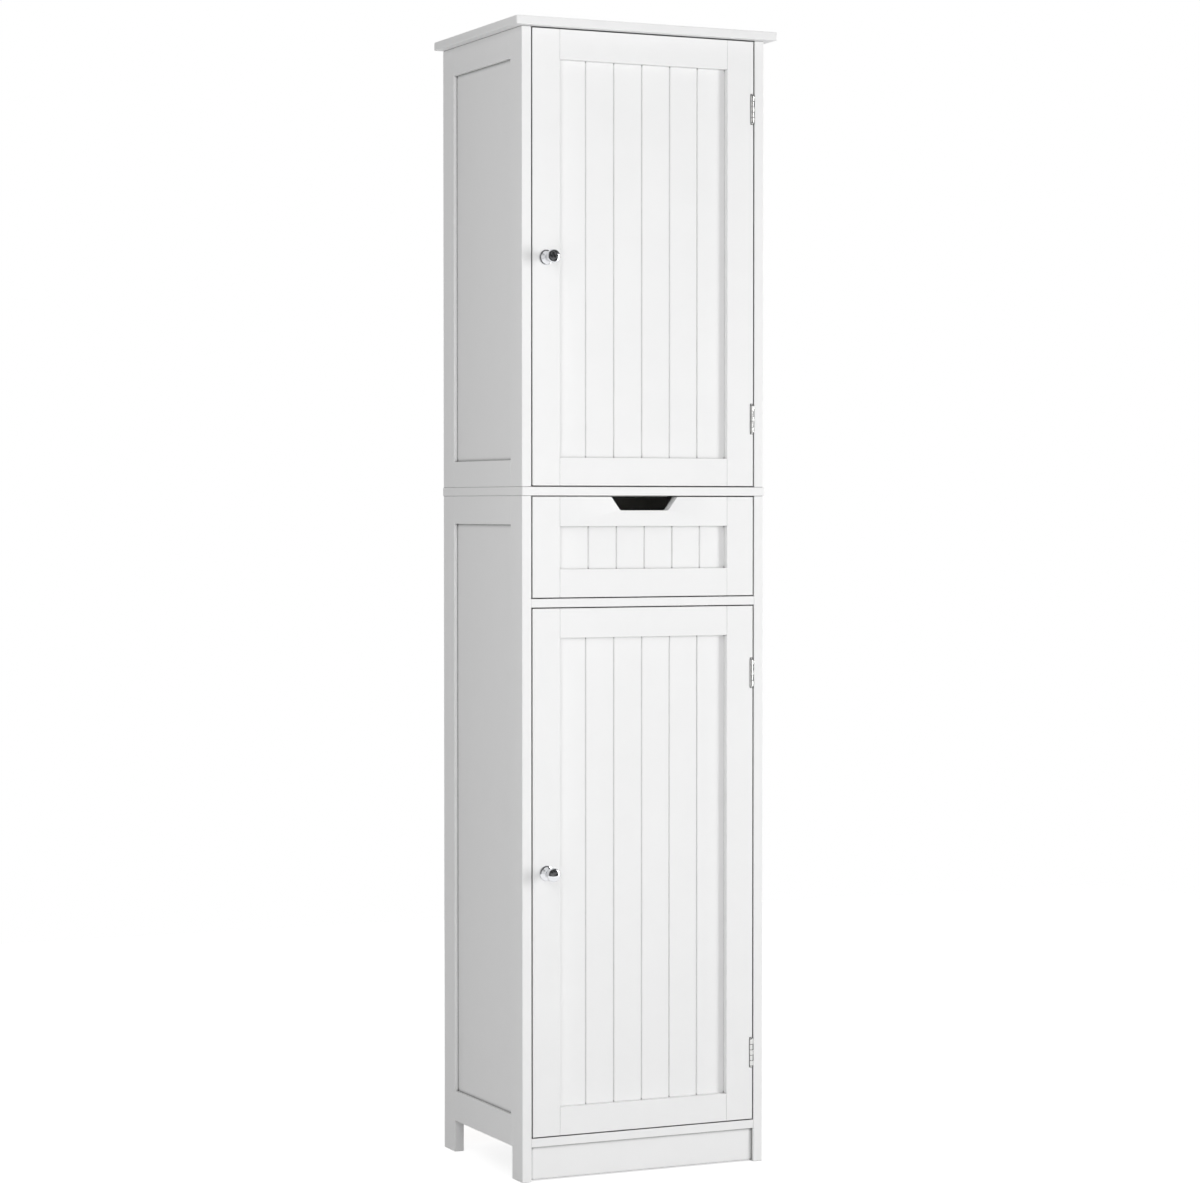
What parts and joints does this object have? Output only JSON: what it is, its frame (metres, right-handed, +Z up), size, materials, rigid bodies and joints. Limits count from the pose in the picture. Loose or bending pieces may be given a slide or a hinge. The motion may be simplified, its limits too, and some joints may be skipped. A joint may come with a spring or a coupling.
{
  "type": "tall bathroom cabinet",
  "caption": "Tall narrow white floor cabinet with framed beaded doors above and below a drawer that has a hand notch, on short feet.",
  "frame": {"origin": "on the floor, under the middle of the whole cabinet with its knobs", "axes": "+X to the right as seen from the front, +Y from the front to the back, +Z up; the doors face -Y"},
  "size_m": [0.4, 0.313, 1.6],
  "materials": {
    "painted_board": "smooth medium-density fibreboard under a satin white paint",
    "drawer_board": "fibreboard with a plain white satin foil",
    "backing_board": "thin hardboard, white on its inner face and brown outside",
    "dowel_beech": "bare turned beech",
    "polished_chrome": "mirror-bright plated",
    "bright_steel": "bright nickel-plated steel",
    "catch_plastic": "moulded white plastic with a magnet inside"
  },
  "bodies": {
    "carcass": {"assembly_dowels": "dowel_beech", "bottom_board": "painted_board", "divider_board": "painted_board", "door_catches": "catch_plastic", "drawer_runners": "drawer_board", "hinge_frame_leaves": "bright_steel", "hinge_frame_screws": "bright_steel", "hinge_pins": "bright_steel", "lower_back_panel": "backing_board", "lower_left_front_stile": "painted_board", "lower_left_rails": "painted_board", "lower_left_rear_stile": "painted_board", "lower_left_side_panel": "painted_board", "lower_right_front_stile": "painted_board", "lower_right_rails": "painted_board", "lower_right_rear_stile": "painted_board", "lower_right_side_panel": "painted_board", "lower_shelf": "painted_board", "middle_board": "painted_board", "plinth_board": "painted_board", "shelf_pins": "bright_steel", "top_board": "painted_board", "upper_back_panel": "backing_board", "upper_left_front_stile": "painted_board", "upper_left_rails": "painted_board", "upper_left_rear_stile": "painted_board", "upper_left_side_panel": "painted_board", "upper_right_front_stile": "painted_board", "upper_right_rails": "painted_board", "upper_right_rear_stile": "painted_board", "upper_right_side_panel": "painted_board", "upper_shelf": "painted_board"},
    "upper_door": {"upper_door_bottom_rail": "painted_board", "upper_door_hinge_leaves": "bright_steel", "upper_door_hinge_screws": "bright_steel", "upper_door_knob": "polished_chrome", "upper_door_knob_screw": "bright_steel", "upper_door_left_stile": "painted_board", "upper_door_panel": "painted_board", "upper_door_right_stile": "painted_board", "upper_door_strike_plate": "bright_steel", "upper_door_top_rail": "painted_board"},
    "lower_door": {"lower_door_bottom_rail": "painted_board", "lower_door_hinge_leaves": "bright_steel", "lower_door_hinge_screws": "bright_steel", "lower_door_knob": "polished_chrome", "lower_door_knob_screw": "bright_steel", "lower_door_left_stile": "painted_board", "lower_door_panel": "painted_board", "lower_door_right_stile": "painted_board", "lower_door_strike_plate": "bright_steel", "lower_door_top_rail": "painted_board"},
    "drawer": {"drawer_back": "drawer_board", "drawer_bottom": "backing_board", "drawer_front_bottom_rail": "painted_board", "drawer_front_panel": "painted_board", "drawer_front_stiles": "painted_board", "drawer_front_top_rail": "painted_board", "drawer_sides": "drawer_board"}
  },
  "joints": [
    {"name": "upper_door_hinge", "type": "hinge", "parent": "carcass", "child": "upper_door", "pos_m": [0.1681, -0.1288, 1.2735], "axis": [0, 0, 1], "range_deg": [0, 170]},
    {"name": "lower_door_hinge", "type": "hinge", "parent": "carcass", "child": "lower_door", "pos_m": [0.1681, -0.1288, 0.4265], "axis": [0, 0, 1], "range_deg": [0, 170]},
    {"name": "drawer_slide", "type": "slide", "parent": "carcass", "child": "drawer", "axis": [0, -1, 0], "range_m": [0, 0.2]}
  ]
}
